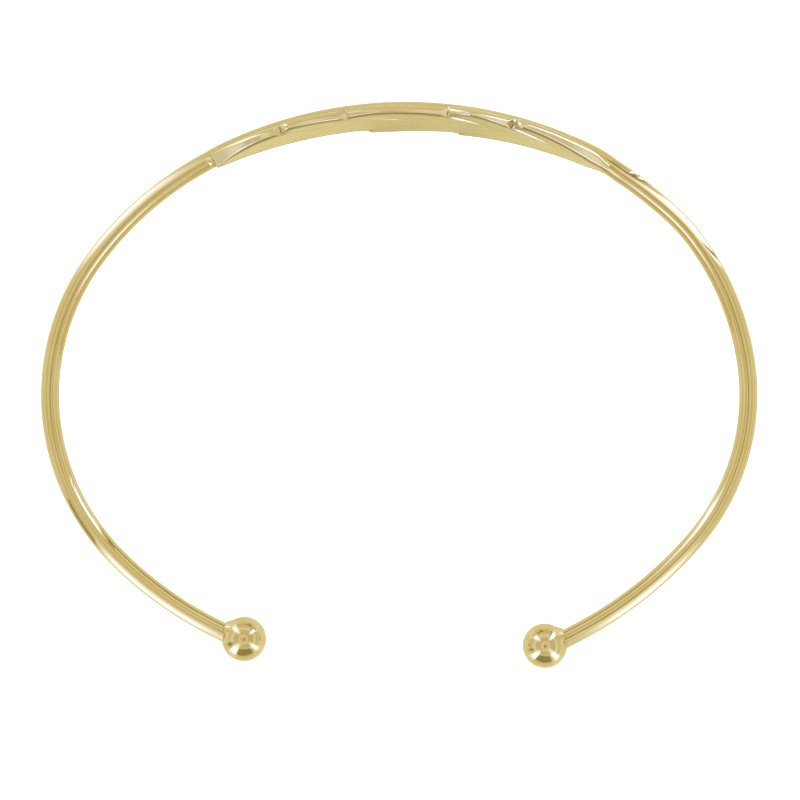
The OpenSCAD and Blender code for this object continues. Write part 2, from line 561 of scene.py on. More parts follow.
class Finish(Enum):
    """The finishes of the bangle."""

    POLISHED = GoldFinish("polished_gold")
    FILED = GoldFinish("filed_gold", clean=0.09, hazed=0.15, stretch=(1.2, 30.0, 6.0), line_depth=0.001,
                       deep=(0.64, 0.525, 0.26), pale=(0.67, 0.56, 0.30))
    SATIN = GoldFinish("satin_gold", clean=0.24, hazed=0.32, stretch=(0.8, 22.0, 22.0), line_depth=0.003,
                       deep=(0.61, 0.485, 0.175), pale=(0.63, 0.51, 0.20), grazing=(1.0, 0.965, 0.73),
                       coat=0.0)

    def material(self) -> bpy.types.Material:
        """Returns the finish's material, built on first use."""
        return bpy.data.materials.get(self.value.name) or self.value.material()


# Mesh helpers


def new_object(bm: bmesh.types.BMesh, name: str, materials: list[bpy.types.Material]) -> bpy.types.Object:
    """Makes a drawn mesh an object of the scene.

    Args:
        bm: the mesh, in metres. It is freed.
        name: the object's name.
        materials: its materials.

    Returns:
        The new object.
    """
    mesh = bpy.data.meshes.new(name)
    bm.to_mesh(mesh)
    bm.free()
    for material in materials:
        mesh.materials.append(material)
    made = bpy.data.objects.new(name, mesh)
    bpy.context.scene.collection.objects.link(made)
    return made


def finish_piece(bm: bmesh.types.BMesh, name: str, rest: RestPose, finishes: list[Finish]) -> bpy.types.Object:
    """Sets a drawn mesh down in metres and makes it a piece of the bangle.

    Args:
        bm: the mesh, drawn in the ring's frame. It is freed.
        name: the piece's name.
        rest: how the ring lies.
        finishes: the finishes, in the order of the faces' material numbers.

    Returns:
        The new object, which rides on the bangle's body.
    """
    bmesh.ops.transform(bm, matrix=rest.matrix(), verts=bm.verts)
    bmesh.ops.recalc_face_normals(bm, faces=bm.faces)
    for face in bm.faces:
        face.smooth = True
    for edge in bm.edges:
        if edge.is_manifold and edge.calc_face_angle() > SHARP_EDGE:
            edge.smooth = False
    piece = new_object(bm, name, [finish.material() for finish in finishes])
    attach(piece, BODY)
    return piece


class Tube:
    """A round tube drawn ring by ring, along bends and straights in the ring's plane."""

    # How sharply a swelling on one side falls off round the tube
    FALLOFF = 7

    def __init__(self, radius: float, sides: int, at: Vector, outward: Vector, along: Vector,
                 step: float) -> None:
        """Draws the closed first end.

        Args:
            radius: radius of the tube.
            sides: points round the tube.
            at: middle of the first end.
            outward: direction away from the oval's middle.
            along: direction in which the tube sets off.
            step: greatest distance between two rings of points.
        """
        self.bm = bmesh.new()
        self.drawn = self.bm.verts.layers.float_vector.new(DRAWN)
        self.step = step
        self.radius = radius
        self.run = 0.0
        made = bmesh.ops.create_circle(self.bm, cap_ends=True, radius=radius, segments=sides)
        for vert in made["verts"]:
            vert[self.drawn] = Vector((0, vert.co.x, vert.co.y))
        turn = axes(outward, Vector((0, 0, 1)), along)
        bmesh.ops.transform(self.bm, matrix=Matrix.Translation(at) @ turn, verts=made["verts"])
        self.rim = list(self.bm.edges)
        self.rings = [(list(self.bm.verts), outward)]

    def _take(self, geom: list[object], moved: float) -> list[bmesh.types.BMVert]:
        """Takes the newest ring as the tube's end.

        Args:
            geom: what the operator made last.
            moved: how much longer the tube has become.

        Returns:
            The ring's points.
        """
        self.rim = [item for item in geom if isinstance(item, bmesh.types.BMEdge)]
        self.run += moved
        verts = list(dict.fromkeys(vert for edge in self.rim for vert in edge.verts))
        for vert in verts:
            vert[self.drawn] = Vector((self.run, *vert[self.drawn].yz))
        self.rings.append((verts, self.rings[-1][1]))
        return verts

    @staticmethod
    def middle(verts: list[bmesh.types.BMVert]) -> Vector:
        """Middle of a ring of points."""
        return sum((vert.co for vert in verts), Vector()) / len(verts)

    def bend(self, centre: Vector, radius: float, degrees: float) -> None:
        """Goes on round a bend.

        Args:
            centre: centre of the bend.
            radius: its radius.
            degrees: its signed sweep.
        """
        sweep = math.radians(degrees)
        steps = max(1, math.ceil(abs(sweep) * radius / self.step))
        for _ in range(steps):
            made = bmesh.ops.spin(self.bm, geom=self.rim, cent=centre, axis=(0, 0, 1), dvec=(0, 0, 0),
                                  angle=sweep / steps, steps=1, use_duplicate=False)
            verts = self._take(made["geom_last"], abs(sweep) * radius / steps)
            self.rings[-1] = (verts, (self.middle(verts) - centre).normalized())

    def straight(self, move: Vector) -> None:
        """Goes straight on."""
        made = bmesh.ops.extrude_edge_only(self.bm, edges=self.rim)
        bmesh.ops.translate(self.bm, vec=move, verts=self._take(made["geom"], move.length))

    def swell(self, radii: Stops, lean: float | None = None) -> None:
        """Gives each ring its own radius.

        Args:
            radii: places along the tube and the radius there.
            lean: if given, only the upper side swells, most at this angle inwards from the top.
        """
        for verts, outward in self.rings:
            centre = self.middle(verts)
            factor = between(verts[0][self.drawn].x, radii) / self.radius
            for vert in verts:
                spoke = vert.co - centre
                share = 1.0
                if lean is not None:
                    facing = Vector((0, 0, math.cos(lean))) - outward * math.sin(lean)
                    share = max(0.0, spoke.normalized().dot(facing)) ** self.FALLOFF
                vert.co = centre + spoke * (1 + (factor - 1) * share)

    def press_in(self, oval: Oval, first: float) -> None:
        """Presses the rings inwards where the oval is bowed.

        Args:
            oval: the line of the wire.
            first: where the tube starts on the feather.
        """
        for verts, outward in self.rings:
            depth = oval.bowed(first + verts[0][self.drawn].x)
            for vert in verts:
                vert.co -= outward * depth

    def close(self) -> None:
        """Closes the tube's last end."""
        bmesh.ops.holes_fill(self.bm, edges=self.rim, sides=0)


# Sub-assemblies


@dataclass
class WireArm:
    """One polished wire arm, from inside the feather round to the middle of its ball.

    Args:
        arm: the line that it follows.
        rest: how the ring lies.
        name: the piece's name.
        into_feather: place along the feather where the wire starts.
        sides: points round the wire.
        step: greatest distance between two rings of points.
    """

    arm: Arm
    rest: RestPose
    name: str
    into_feather: float
    sides: int = 48
    step: float = 0.45

    def build(self) -> bpy.types.Object:
        """Draws the wire along its bends.

        Returns:
            The finished piece.
        """
        oval = self.rest.oval
        front_r = oval.front.radius
        from_angle = self.rest.feather.angle(self.into_feather, oval)
        outward = unit(from_angle)
        tube = Tube(oval.wire_r, self.sides, oval.front_centre + front_r * outward, outward,
                    unit(from_angle + self.arm.way * 90), self.step)
        tube.bend(oval.front_centre, front_r, self.arm.start - from_angle)
        for centre, radius, sweep in self.arm.turns():
            tube.bend(centre, radius, sweep)
        tube.straight(self.arm.heading() * oval.wire_lead)
        tube.close()
        if self.arm.way < 0:
            tube.press_in(oval, self.into_feather)
        return finish_piece(tube.bm, self.name, self.rest, [Finish.POLISHED])


@dataclass(frozen=True)
class Seam:
    """Painted shade: the dark line painted into the colour beside a rim, where the walls meet the inner face.

    Args:
        depth: how dark it is.
        start: distance from the edge where it starts.
        rise: distance over which it gets dark.
        end: distance from the edge where it starts to fade.
        fall: distance over which it fades.
    """

    depth: float
    start: float
    rise: float
    end: float
    fall: float


@dataclass
class Feather:
    """The feather: a plate of engraved barbs with slits between them, and the round shaft along it.

    Args:
        rest: how the ring lies.
        pitch: distance between two columns of points at the shaft.
        rows: rows of points from the shaft to the outer edge.
        crowding: how much closer together the rows lie at the outer edge.
        edge_steps: pieces of a barb's outer edge.
        tip_steps: pieces of its tip's round.
        notch_share: most of a notch's depth that the round may take.
        line_every: columns from one engraved line to the next.
        line_half: columns from a line's middle to its side.
        line_depth: depth of an engraved line.
        line_start: the lines are fully deep from 1 / line_start of the way out to the edge.
        line_fade: they get shallower over the outer 1 / line_fade of the way.
        line_loss: share of their depth that they lose there.
        proud_rise: a lifted barb is fully proud from 1 / proud_rise of the way out.
        proud_fall: what is left of the lift at the barb's front, cut off at 1, and its loss up to the slit.
        rim_out: radius of the rim on the outer face.
        rim_in: radius of the rim on the inner face.
        rim_at_tip: share of those radii at the feather's tip.
        full_rim_at: distance from there where the rims have their full radius.
        foot_weights: how fast the rims grow away from the notch before a barb, and from the next one.
        closed_over: distance from the foot of a notch over which the rims grow to their full radius.
        filed_rim: share of rim_in over which the inner face is filed, and not satin.
        filed_slit: depth of a slit's bevel from which it is filed too.
        mouth_w: width of a slit where it opens.
        under_shaft: how far the plate runs on under the shaft where no barb ends.
        end_taper: length over which the plate thins out into the quill.
        end_thin: how much each face gives way at the quill.
        seam: the painted shade in the seam between the walls and the inner face.
        ridge: places along the shaft and its radius there, from the tip to past the quill.
        bead: the same for the bead of solder where the left wire meets the feather's tip.
        bead_end: place along the feather where the bead ends.
        bead_lean: angle from the wire's top, inwards, at which the bead stands highest.
        sides: points round the shaft and the bead.
        ridge_step: distance between two rings of points of the shaft.
        bead_step: distance between two rings of points of the bead.
    """

    LAYERS = ("edge", "slit", "foot", "line", "reach", "proud", PAINTED_SHADE)
    MERGE = 1e-5

    rest: RestPose
    pitch: float = 0.1
    rows: int = 26
    crowding: float = 2.1
    edge_steps: int = 24
    tip_steps: int = 8
    notch_share: float = 0.9
    line_every: int = 10
    line_half: float = 3.2
    line_depth: float = 0.13
    line_start: float = 6.0
    line_fade: float = 3.0
    line_loss: float = 0.5
    proud_rise: float = 1.5
    proud_fall: tuple[float, float] = (1.2, 1.6)
    rim_out: float = 0.38
    rim_in: float = 0.26
    rim_at_tip: float = 0.3
    full_rim_at: float = 3.2
    foot_weights: tuple[float, float] = (3.0, 1.0)
    closed_over: float = 0.7
    filed_rim: float = 0.25
    filed_slit: float = 0.02
    mouth_w: float = 0.03
    under_shaft: float = 0.4
    end_taper: float = 1.9
    end_thin: float = 0.22
    # Painted shade along the seam between the walls and the inner face
    seam: Seam = Seam(1.0, 0.02, 0.05, 0.3, 0.6)
    ridge: Stops = (
        (0, 0.5), (38.3, 0.5), (38.62, 0.43), (38.66, 0.36), (38.8, 0.36), (38.9, 0.42), (39.1, 0.49),
        (39.5, 0.42), (39.9, 0.3),
    )
    bead: Stops = ((0, 0.795), (0.12, 0.8), (0.62, 1.0), (0.72, 0.99), (0.8, 0.8), (0.9, 0.79))
    bead_end: float = 0.14
    bead_lean: float = math.radians(42)
    sides: int = 40
    ridge_step: float = 0.1
    bead_step: float = 0.05

    @property
    def shape(self) -> FeatherShape:
        """The feather's sizes."""
        return self.rest.feather

    def edge_line(self, barb: Barb, before: Barb | None) -> list[Vector]:
        """Draws the outer edge of a barb.

        Args:
            barb: the barb.
            before: the barb before it, if there is one.

        Returns:
            Places from the foot of the notch before the barb, over its rounded tip, to its end.
        """
        tip, belly, end = (Vector(place) for place in (barb.tip, barb.belly, barb.end))
        line = self.arc(tip, 2 * belly - (tip + end) / 2, end, self.edge_steps)
        if not before:
            return line
        foot = Vector(before.end) + Vector((self.mouth_w, self.mouth_w))
        low = tip - Vector((0, min(barb.turn[1], self.notch_share * (tip.y - foot.y))))
        past = [place for place in line if place.x > tip.x + barb.turn[0]]
        corner = tip.lerp((low + past[0]) / 2, barb.blunt)
        return [foot, *self.arc(low, corner, past[0], self.tip_steps), *past[1:]]

    @staticmethod
    def arc(start: Vector, pull: Vector, end: Vector, steps: int) -> list[Vector]:
        """Points of the parabola from start to end that pull draws out."""
        shares = [i / steps for i in range(steps + 1)]
        return [(1 - t) ** 2 * start + 2 * t * (1 - t) * pull + t * t * end for t in shares]

    @staticmethod
    def at_share(line: list[Vector], share: float) -> Vector:
        """Finds a point on a line.

        Args:
            line: the line's points.
            share: share of its length.

        Returns:
            The point at that share.
        """
        lengths = [(b - a).length for a, b in zip(line, line[1:])]
        left = share * sum(lengths)
        for a, b, length in zip(line, line[1:], lengths):
            if left <= length:
                return a.lerp(b, left / length)
            left -= length
        return line[-1]

    @staticmethod
    def distance(place: Vector, line: list[Vector]) -> float:
        """Measures how near a line comes.

        Args:
            place: where it is measured from.
            line: the line's points.

        Returns:
            The shortest distance.
        """
        best = math.inf
        for a, b in zip(line, line[1:]):
            near, share = intersect_point_line(place, a, b)
            near = a if share < 0 else b if share > 1 else near
            best = min(best, (Vector(near) - place).length)
        return best

    def add_barb(self, bm: bmesh.types.BMesh, barb: Barb, before: Barb | None, side: int) -> None:
        """Draws one barb flat: columns of points along its engraved lines, rows across them.

        Args:
            bm: the feather's mesh, with the layers named in LAYERS.
            barb: the barb.
            before: the barb before it, if there is one.
            side: 1 for the upper half of the feather and -1 for the lower.
        """
        layers = bm.verts.layers.float
        first = round(before.root[0] / self.pitch) if before else 0
        columns = round(barb.root[0] / self.pitch) - first
        edge = self.edge_line(barb, before)
        root_a = Vector(before.root) if before else Vector((0, self.under_shaft))
        root_b = Vector((barb.root[0], max(barb.root[1], self.under_shaft)))
        behind = [edge[-1], Vector(barb.root)]
        outline = edge if before else [Vector((0, 0)), *edge]
        last = barb.end[0] >= self.shape.plate_end
        feet = [(edge[0], self.foot_weights[0])] if before else []
        feet += [] if last else [(edge[-1], self.foot_weights[1])]
        made = bmesh.ops.create_grid(bm, x_segments=columns, y_segments=self.rows, size=1)
        for vert in made["verts"]:
            column = round((vert.co.x + 1) / 2 * columns)
            row = round((vert.co.y + 1) / 2 * self.rows)
            share = column / columns
            shoulder = root_a.lerp(root_b, share)
            reach = 0.0
            if row == 0:
                place = Vector(((first + column) * self.pitch, 0))
            else:
                reach = 1 - (1 - (row - 1) / (self.rows - 1)) ** self.crowding
                place = shoulder.lerp(self.at_share(edge, share), reach)
            phase = (column + self.line_every // 2 + 1) % self.line_every
            from_line = min(phase, self.line_every - phase)
            proud = ease(self.proud_rise * reach) * ease(self.proud_fall[0] - self.proud_fall[1] * share)
            vert[layers["edge"]] = self.distance(place, outline)
            vert[layers["slit"]] = bevelled(self.distance(place, behind), barb.slit_bevel)
            vert[layers["foot"]] = min((place - foot).length * weight for foot, weight in feet)
            vert[layers["line"]] = max(0.0, 1 - from_line / self.line_half)
            vert[layers["reach"]] = reach
            vert[layers["proud"]] = barb.lift * proud
            vert.co = Vector((place.x, side * place.y, 0))

    def top(self, vert: bmesh.types.BMVert, layers: bmesh.types.BMLayerAccessVert) -> float:
        """Works out the height of the outer face over the inner one.

        Args:
            vert: a point of the flat plate.
            layers: the mesh's layers.

        Returns:
            The height, with the engraved line and the rim taken off.
        """
        shape = self.shape
        half_w = shape.shaft_w / 2
        slope = (shape.root_t - shape.edge_t) / (shape.widest - half_w)
        height = shape.root_t - slope * max(0.0, abs(vert.co.y) - half_w)
        reach = vert[layers["reach"]]
        inside = ease(reach * self.line_start)
        inside *= ease((vert[layers["edge"]] - self.rim_out / 2) / self.rim_out)
        kept = 1 - self.line_loss * ease(reach * self.line_fade - (self.line_fade - 1))
        engraved = self.line_depth * vert[layers["line"]] * inside * kept
        return height - engraved - self.rim(vert, layers, self.rim_out)

    def rim(self, vert: bmesh.types.BMVert, layers: bmesh.types.BMLayerAccessVert, radius: float) -> float:
        """Works out how far a face gives way near the outline, a slit or the quill.

        Args:
            vert: a point of the flat plate.
            layers: the mesh's layers.
            radius: the rim's full radius on that face.

        Returns:
            How much lower the face lies there.
        """
        quill = self.end_thin * ease((vert.co.x - self.shape.plate_end + self.end_taper) / self.end_taper)
        from_tip = self.rim_at_tip + (1 - self.rim_at_tip) * ease(vert.co.x / self.full_rim_at)
        grown = ease(vert[layers["foot"]] / self.closed_over) * from_tip
        return quill + max(rounded(vert[layers["edge"]], radius * grown), vert[layers["slit"]])

    def crease(self, vert: bmesh.types.BMVert, layers: bmesh.types.BMLayerAccessVert) -> float:
        """Works out how dark the painted shade in the seam between the walls and the inner face is.

        Args:
            vert: a point of the inner face.
            layers: the mesh's layers.

        Returns:
            1 in the seam and 0 away from it.
        """
        seam = self.seam
        edge = vert[layers["edge"]]
        return seam.depth * ease((edge - seam.start) / seam.rise) * (1 - ease((edge - seam.end) / seam.fall))

    def filed(self, face: bmesh.types.BMFace, layers: bmesh.types.BMLayerAccessVert) -> bool:
        """Whether a face of the inner side lies on a rim or on a slit's bevel."""
        return (min(vert[layers["edge"]] for vert in face.verts) < self.rim_in * self.filed_rim
                or max(vert[layers["slit"]] for vert in face.verts) > self.filed_slit)

    def build_plate(self) -> bpy.types.Object:
        """Draws all barbs flat, thickens them into one plate, and bends it round the front.

        Returns:
            The finished piece.
        """
        bm = bmesh.new()
        bm.verts.layers.float_vector.new(DRAWN)
        layers = bm.verts.layers.float
        for name in self.LAYERS:
            layers.new(name)
        drawn = bm.verts.layers.float_vector[DRAWN]
        for side, barbs in ((1, self.shape.upper), (-1, self.shape.lower)):
            for before, barb in zip((None, *barbs), barbs):
                self.add_barb(bm, barb, before, side)
        bmesh.ops.remove_doubles(bm, verts=bm.verts, dist=self.MERGE)
        inner = list(bm.faces)
        made = bmesh.ops.extrude_face_region(bm, geom=inner, use_keep_orig=True)
        raised = {item for item in made["geom"] if isinstance(item, bmesh.types.BMVert)}
        outer = {item for item in made["geom"] if isinstance(item, bmesh.types.BMFace)}
        finishes = [Finish.POLISHED, Finish.FILED, Finish.SATIN]
        for face in bm.faces:
            face.material_index = finishes.index(Finish.POLISHED if face in outer else Finish.FILED)
        for face in inner:
            if not self.filed(face, layers):
                face.material_index = finishes.index(Finish.SATIN)
        for vert in bm.verts:
            if vert in raised:
                vert.co.z = self.top(vert, layers) + vert[layers["proud"]]
            else:
                vert.co.z = self.rim(vert, layers, self.rim_in) + vert[layers["proud"]]
                # Painted shade in the seam beside the inner face's rims
                vert[layers[PAINTED_SHADE]] = self.crease(vert, layers)
        for vert in bm.verts:
            vert[drawn] = vert.co
            vert.co = self.shape.bent(vert.co, self.rest.oval)
        return finish_piece(bm, "feather_barbs", self.rest, finishes)

    def build_shaft(self) -> bpy.types.Object:
        """Draws the shaft: a tapered ridge along the middle, which runs on over the right wire as the quill.

        Returns:
            The finished piece.
        """
        shape = self.shape
        middle_r = self.rest.oval.front.radius + shape.crown - shape.ridge_r
        tube = self.tube_along(middle_r, shape.ridge_r, (0, self.ridge[-1][0]), self.ridge_step)
        tube.swell(self.ridge)
        tube.press_in(self.rest.oval, 0.0)
        for vert in tube.bm.verts:
            share = min(vert[tube.drawn].x / shape.length, 1.0)
            width = shape.shaft_tip_w + (shape.shaft_w - shape.shaft_tip_w) * share
            vert.co.z *= width / 2 / shape.ridge_r
        return finish_piece(tube.bm, "feather_shaft", self.rest, [Finish.POLISHED])

    def build_bead(self) -> bpy.types.Object:
        """Draws the bead of solder on the left wire, where it meets the feather's tip.

        Returns:
            The finished piece.
        """
        oval = self.rest.oval
        span = (self.bead_end - self.bead[-1][0], self.bead_end)
        tube = self.tube_along(oval.front.radius, oval.wire_r, span, self.bead_step)
        tube.swell(self.bead, self.bead_lean)
        return finish_piece(tube.bm, "tip_solder", self.rest, [Finish.POLISHED])

    def tube_along(self, middle_r: float, radius: float, span: tuple[float, float], step: float) -> Tube:
        """Draws a closed round tube that follows the feather.

        Args:
            middle_r: distance of its middle from the front bend's centre.
            radius: radius of the tube.
            span: places along the feather where it starts and ends.
            step: greatest distance between two rings of points.

        Returns:
            The tube, whose mesh isn't a piece yet.
        """
        oval = self.rest.oval
        from_angle, to_angle = (self.shape.angle(place, oval) for place in span)
        at = oval.front_centre + middle_r * unit(from_angle)
        tube = Tube(radius, self.sides, at, unit(from_angle), unit(from_angle - 90), step)
        tube.bend(oval.front_centre, middle_r, to_angle - from_angle)
        stretch = (span[1] - span[0]) / tube.run
        for vert in tube.bm.verts:
            vert[tube.drawn] = Vector((vert[tube.drawn].x * stretch, *vert[tube.drawn].yz))
        tube.close()
        return tube


@dataclass
class EndBall:
    """A polished ball on the end of an arm, drilled for the wire, with a lip of solder on the inner side.

    Args:
        arm: the arm that it ends.
        rest: how the ring lies.
        name: the piece's name.
        sides: points round the ball.
        rings: rings of points from the bore to the far pole.
        slide_w: distance from the bore over which its shift runs out.
        lip_round: how fast the lip rises round the bore, towards the inner side.
        lip_more: how much of it stands at the bore's flanks.
    """

    MERGE = 1e-4
    TINY = 1e-6

    arm: Arm
    rest: RestPose
    name: str
    sides: int = 96
    rings: int = 56
    slide_w: float = 0.8
    lip_round: float = 1.5
    lip_more: float = 0.2

    def build(self) -> bpy.types.Object:
        """Spins the ball round +Z, shifts its bore, raises the lip and sets it on the wire.

        Returns:
            The finished piece.
        """
        ball = self.rest.ball
        bore_r = self.rest.oval.wire_r + ball.gap
        bm = bmesh.new()
        drawn = bm.verts.layers.float_vector.new(DRAWN)
        opening = math.asin(bore_r / ball.radius)
        first = bm.verts.new((bore_r, 0, ball.radius * math.cos(opening)))
        bmesh.ops.spin(bm, geom=[first], cent=(0, 0, 0), axis=(0, 1, 0), dvec=(0, 0, 0),
                       angle=math.pi - opening, steps=self.rings, use_duplicate=False)
        bmesh.ops.spin(bm, geom=bm.edges[:], cent=(0, 0, 0), axis=(0, 0, 1), dvec=(0, 0, 0),
                       angle=2 * math.pi, steps=self.sides, use_merge=True, use_duplicate=False)
        bmesh.ops.remove_doubles(bm, verts=bm.verts, dist=self.MERGE)
        self._shift_bore(bm, bore_r)
        mouth = [edge for edge in bm.edges if edge.is_boundary]
        made = bmesh.ops.extrude_edge_only(bm, edges=mouth)
        for item in made["geom"]:
            if isinstance(item, bmesh.types.BMVert):
                item.co.z = -ball.gap
        bmesh.ops.holes_fill(bm, edges=[edge for edge in bm.edges if edge.is_boundary], sides=0)
        for vert in bm.verts:
            vert[drawn] = vert.co
        bmesh.ops.transform(bm, matrix=self._on_wire(), verts=bm.verts)
        return finish_piece(bm, self.name, self.rest, [Finish.POLISHED])

    def _shift_bore(self, bm: bmesh.types.BMesh, bore_r: float) -> None:
        """Slides the points round the bore sideways over the ball, and raises the lip beside it.

        Args:
            bm: the ball's mesh.
            bore_r: radius of the bore.
        """
        ball = self.rest.ball
        for vert in bm.verts:
            if vert.co.z <= 0:
                continue
            away = math.hypot(vert.co.x, vert.co.y)
            inward = -vert.co.x / max(away, self.TINY)
            vert.co.x += ball.shift * (1 - ease((away - bore_r) / self.slide_w))
            flat = math.hypot(vert.co.x, vert.co.y)
            lip = 1 - ease((away - bore_r) / ball.lip_reach)
            raised = ball.lip_h * lip * ease(inward * self.lip_round + self.lip_more)
            vert.co.z = math.sqrt(max(ball.radius ** 2 - flat ** 2, 0)) + raised

    def _on_wire(self) -> Matrix:
        """Turns the bore towards the wire and its shifted side outwards, and sets the ball on the wire.

        Returns:
            The transform from the ball's frame to the ring's.
        """
        outward = unit(self.arm.last_angle)
        back = -self.arm.heading()
        return Matrix.Translation(self.rest.ball_centre(self.arm)) @ axes(outward, back.cross(outward), back)


# Studio


def stage_piece(bm: bmesh.types.BMesh, name: str, material: bpy.types.Material,
                only_mirrored: bool = False) -> None:
    """Makes a drawn mesh a piece of the studio, which isn't part of the bangle.

    Args:
        bm: the mesh, in metres. It is freed.
        name: the piece's name.
        material: its finish.
        only_mirrored: whether nothing but the gold's reflections shows it.
    """
    piece = new_object(bm, name, [material])
    if only_mirrored:
        piece.visible_camera = False
        piece.visible_diffuse = False
        piece.visible_shadow = False


def plain_material(name: str, colour: Colour, roughness: float) -> bpy.types.Material:
    """Makes a plain material for a piece of the studio.

    Args:
        name: its name.
        colour: its linear colour.
        roughness: its roughness.

    Returns:
        The new material.
    """
    material = bpy.data.materials.new(name)
    material.use_nodes = True
    shader = material.node_tree.nodes["Principled BSDF"]
    shader.inputs["Base Color"].default_value = (*colour, 1)
    shader.inputs["Roughness"].default_value = roughness
    return material


@dataclass(frozen=True)
class Softbox:
    """A tall glowing panel that rises from the floor and leans in over the ring. Only reflections show it.

    Args:
        name: the light's name.
        foot: where it stands on the floor, in millimetres from the middle of the ring.
        width: its width at the floor in millimetres.
        height: how high its arch would reach over the ring's middle.
        lean: degrees of the arch at which the panel ends.
        glow: how bright it is near the floor, beside the tent's walls.
        top_glow: how bright it is where it leans in.
        dims: degrees of the arch between which it dims from glow to top_glow.
        top_fade: degrees of the arch over which its top fades.
        narrowing: share of its width that it would lose on the way to straight overhead.
        soft: share of its half width over which its sides fade.
        tint: colour of its light. It is cool, so that the warm gold mirrors it as white.
        grid: pieces across the panel and along it.
    """

    name: str
    foot: tuple[float, float]
    width: float
    height: float
    lean: float = 62.0
    glow: float = 3.6
    top_glow: float = 1.8
    dims: tuple[float, float] = (28.0, 42.0)
    top_fade: float = 14.0
    narrowing: float = 0.35
    soft: float = 0.9
    tint: Colour = (0.285, 0.42, 1.22)
    grid: tuple[int, int] = (4, 24)

    def build(self) -> None:
        """Draws the panel flat and arches it over the ring."""
        bm = bmesh.new()
        panel = bm.verts.layers.float_vector.new(PANEL)
        bmesh.ops.create_grid(bm, x_segments=self.grid[0], y_segments=self.grid[1], size=1)
        foot = Vector((*self.foot, 0))
        across = Vector((-foot.y, foot.x, 0)).normalized()
        for vert in bm.verts:
            arch = (vert.co.y + 1) / 2 * self.lean
            vert[panel] = (vert.co.x, arch, self.lean - arch)
            rise = math.radians(arch)
            width = self.width / 2 * vert.co.x * (1 - self.narrowing * ease(arch / 90))
            up = Vector((0, 0, self.height * math.sin(rise)))
            vert.co = (foot * math.cos(rise) + width * across + up) * MM
        stage_piece(bm, self.name, self.material(), only_mirrored=True)

    def material(self) -> bpy.types.Material:
        """Builds the glowing cloth, which fades towards the panel's sides and top.

        Returns:
            The new material.
        """
        material = blank_material(self.name)
        tree = material.node_tree
        place = wire_up(tree, "ShaderNodeAttribute", props={"attribute_name": PANEL})
        split = wire_up(tree, "ShaderNodeSeparateXYZ", _0=place.outputs["Vector"]).outputs
        away = worked_out(tree, "ABSOLUTE", split["X"])
        sides = ranged(tree, away, (1 - self.soft, 1.0), (1.0, 0.0), "SMOOTHSTEP")
        dimmed = ranged(tree, split["Y"], self.dims, (self.glow, self.top_glow), "SMOOTHSTEP")
        top = ranged(tree, split["Z"], (0.0, self.top_fade), (0.0, 1.0), "SMOOTHSTEP")
        glow = worked_out(tree, "MULTIPLY", worked_out(tree, "MULTIPLY", sides, dimmed), top)
        shine = wire_up(tree, "ShaderNodeEmission", Color=(*self.tint, 1), Strength=glow)
        clear = tree.nodes.new("ShaderNodeBsdfTransparent")
        both = wire_up(tree, "ShaderNodeAddShader", _0=shine.outputs[0], _1=clear.outputs[0])
        wire_up(tree, "ShaderNodeOutputMaterial", Surface=both.outputs[0])
        return material


@dataclass(frozen=True)
class Cloth:
    """A dark cloth, which only the gold's reflections show.

    Args:
        name: its name.
        place: its middle, in millimetres.
        half: half its width and half its height, in millimetres.
        facing: direction in degrees from +X that an upright cloth faces, or None for one that lies flat.
        corners: 4 for a rectangle, or many for a round cloth.
        colour: its linear colour.
        roughness: its roughness.
    """

    name: str
    place: tuple[float, float, float]
    half: tuple[float, float]
    facing: float | None = None
    corners: int = 4
    colour: Colour = (0.46, 0.41, 0.30)
    roughness: float = 0.9

    def build(self) -> None:
        """Cuts the cloth and hangs it."""
        bm = bmesh.new()
        radius = 1 if self.corners > 4 else math.sqrt(2)
        made = bmesh.ops.create_circle(bm, cap_ends=True, radius=radius, segments=self.corners)
        bmesh.ops.rotate(bm, matrix=Matrix.Rotation(math.pi / self.corners, 3, "Z"), verts=made["verts"])
        hang = Matrix.Translation(Vector(self.place) * MM)
        if self.facing is not None:
            around = math.radians(self.facing) + math.pi / 2
            hang = hang @ Matrix.Rotation(around, 4, "Z") @ Matrix.Rotation(math.pi / 2, 4, "X")
        size = Matrix.Diagonal((self.half[0] * MM, self.half[1] * MM, 1, 1))
        bmesh.ops.transform(bm, matrix=hang @ size, verts=bm.verts)
        material = plain_material(self.name, self.colour, self.roughness)
        stage_piece(bm, self.name, material, only_mirrored=True)


